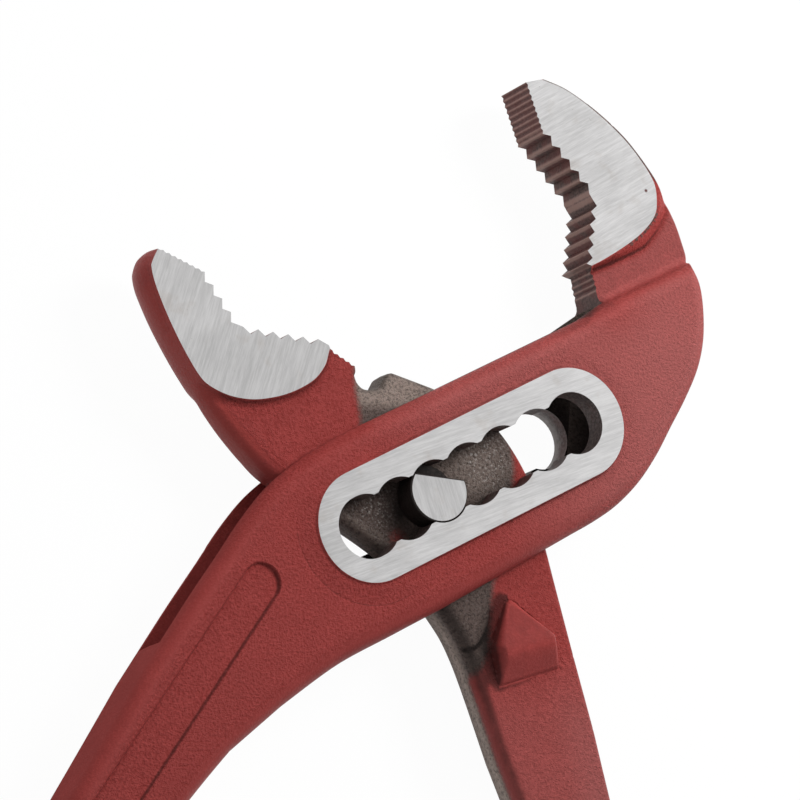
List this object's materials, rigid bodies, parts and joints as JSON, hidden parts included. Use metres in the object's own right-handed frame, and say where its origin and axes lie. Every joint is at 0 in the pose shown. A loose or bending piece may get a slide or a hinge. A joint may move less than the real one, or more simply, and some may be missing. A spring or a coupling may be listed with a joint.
{
  "type": "water pump pliers",
  "caption": "Box-joint water pump pliers with toothed pipe jaws, a notched adjusting slot with a sliding pivot pin, a closing stop on one handle and dipped handle grips.",
  "frame": {"origin": "pivot pin axis on the plane that the pliers rest on when they lie flat", "axes": "+Z along the pin, up from the resting plane; +Y towards the jaws along the tool's length; +X to the slotted arm's jaw"},
  "size_m": [0.1794, 0.2485, 0.0162],
  "materials": {
    "red_paint": "satin red coat over forged steel, with bare ground faces",
    "ground_steel": "ground",
    "grip_plastic": "soft dipped coat"
  },
  "bodies": {
    "slotted_arm": {"slotted_arm": "red_paint", "slotted_grip": "grip_plastic"},
    "pivot_pin": {"pivot_pin": "ground_steel"},
    "inner_arm": {"inner_arm": "red_paint", "inner_grip": "grip_plastic"}
  },
  "joints": [
    {"name": "notch_slide", "type": "slide", "parent": "slotted_arm", "child": "pivot_pin", "axis": [0.8988, 0.4384, 0], "range_m": [-0.0142, 0.0284]},
    {"name": "arm_hinge", "type": "hinge", "parent": "pivot_pin", "child": "inner_arm", "pos_m": [0, 0, 0.0081], "axis": [0, 0, 1], "range_deg": [-43, 22]}
  ]
}
